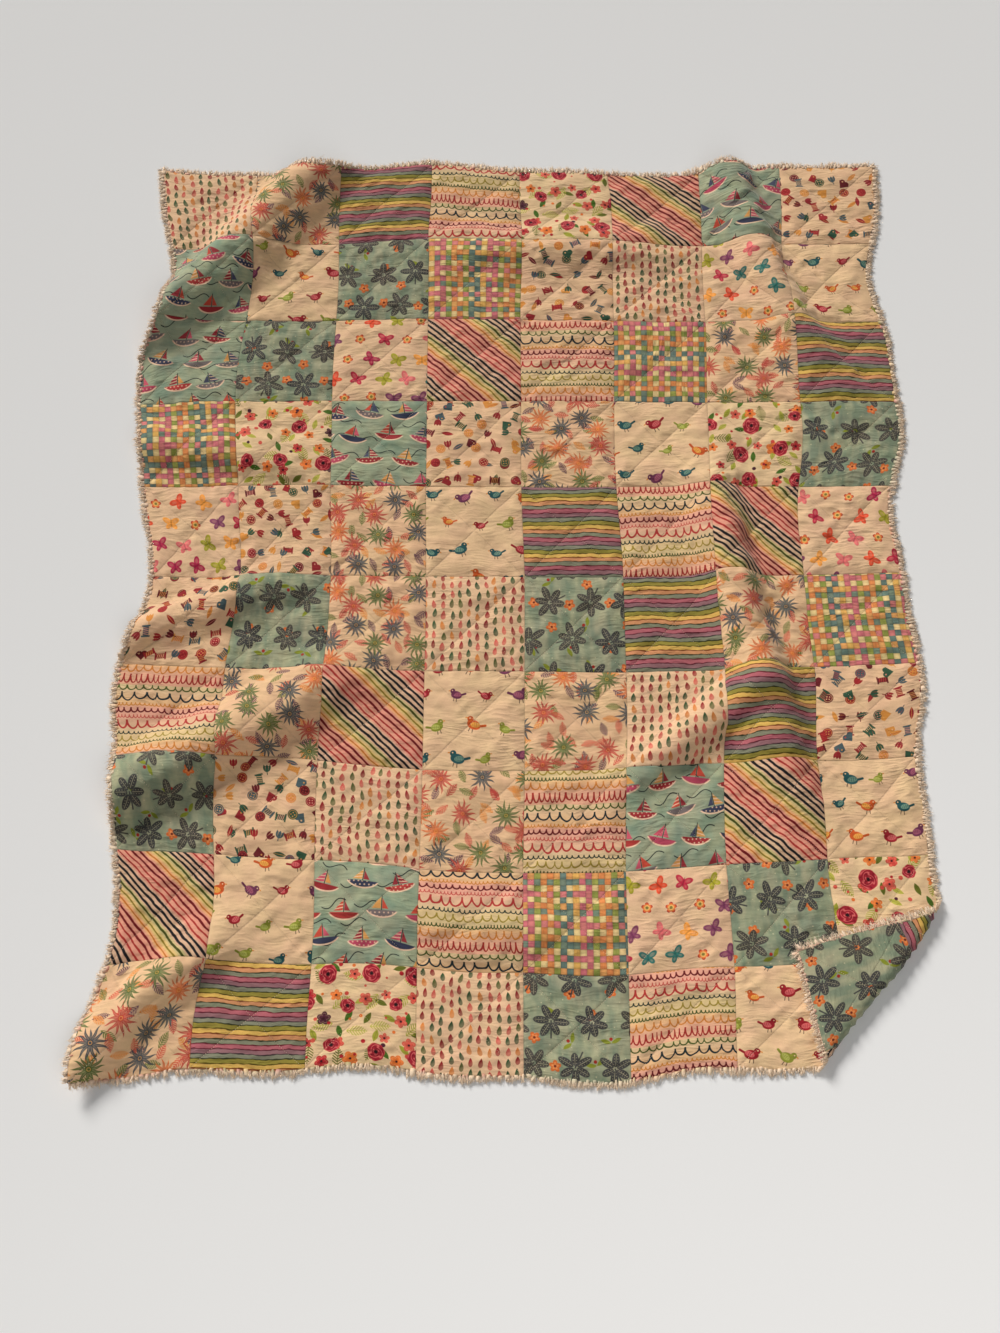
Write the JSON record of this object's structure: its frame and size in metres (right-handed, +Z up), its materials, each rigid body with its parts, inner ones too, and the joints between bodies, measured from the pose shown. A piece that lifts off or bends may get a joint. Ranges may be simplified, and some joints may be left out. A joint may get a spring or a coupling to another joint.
{
  "type": "patchwork quilt",
  "caption": "Patchwork quilt of square patches with crossed stitching and a raw frayed edge, laid out flat in soft ripples with one corner turned back.",
  "frame": {"origin": "centre of the bounding box, on the surface that the quilt lies on", "axes": "+Y along the quilt towards its far end, +X across it to the right, +Z up from the surface"},
  "size_m": [1.2908, 1.5954, 0.0522],
  "materials": {
    "patchwork_cloth": "soft, matt printed cotton with crinkled quilting",
    "frayed_thread": "loose, matt cotton threads"
  },
  "bodies": {
    "root": {"quilt": "patchwork_cloth", "fringe_front": "frayed_thread", "fringe_back": "frayed_thread", "fringe_left": "frayed_thread", "fringe_right": "frayed_thread"}
  },
  "joints": []
}
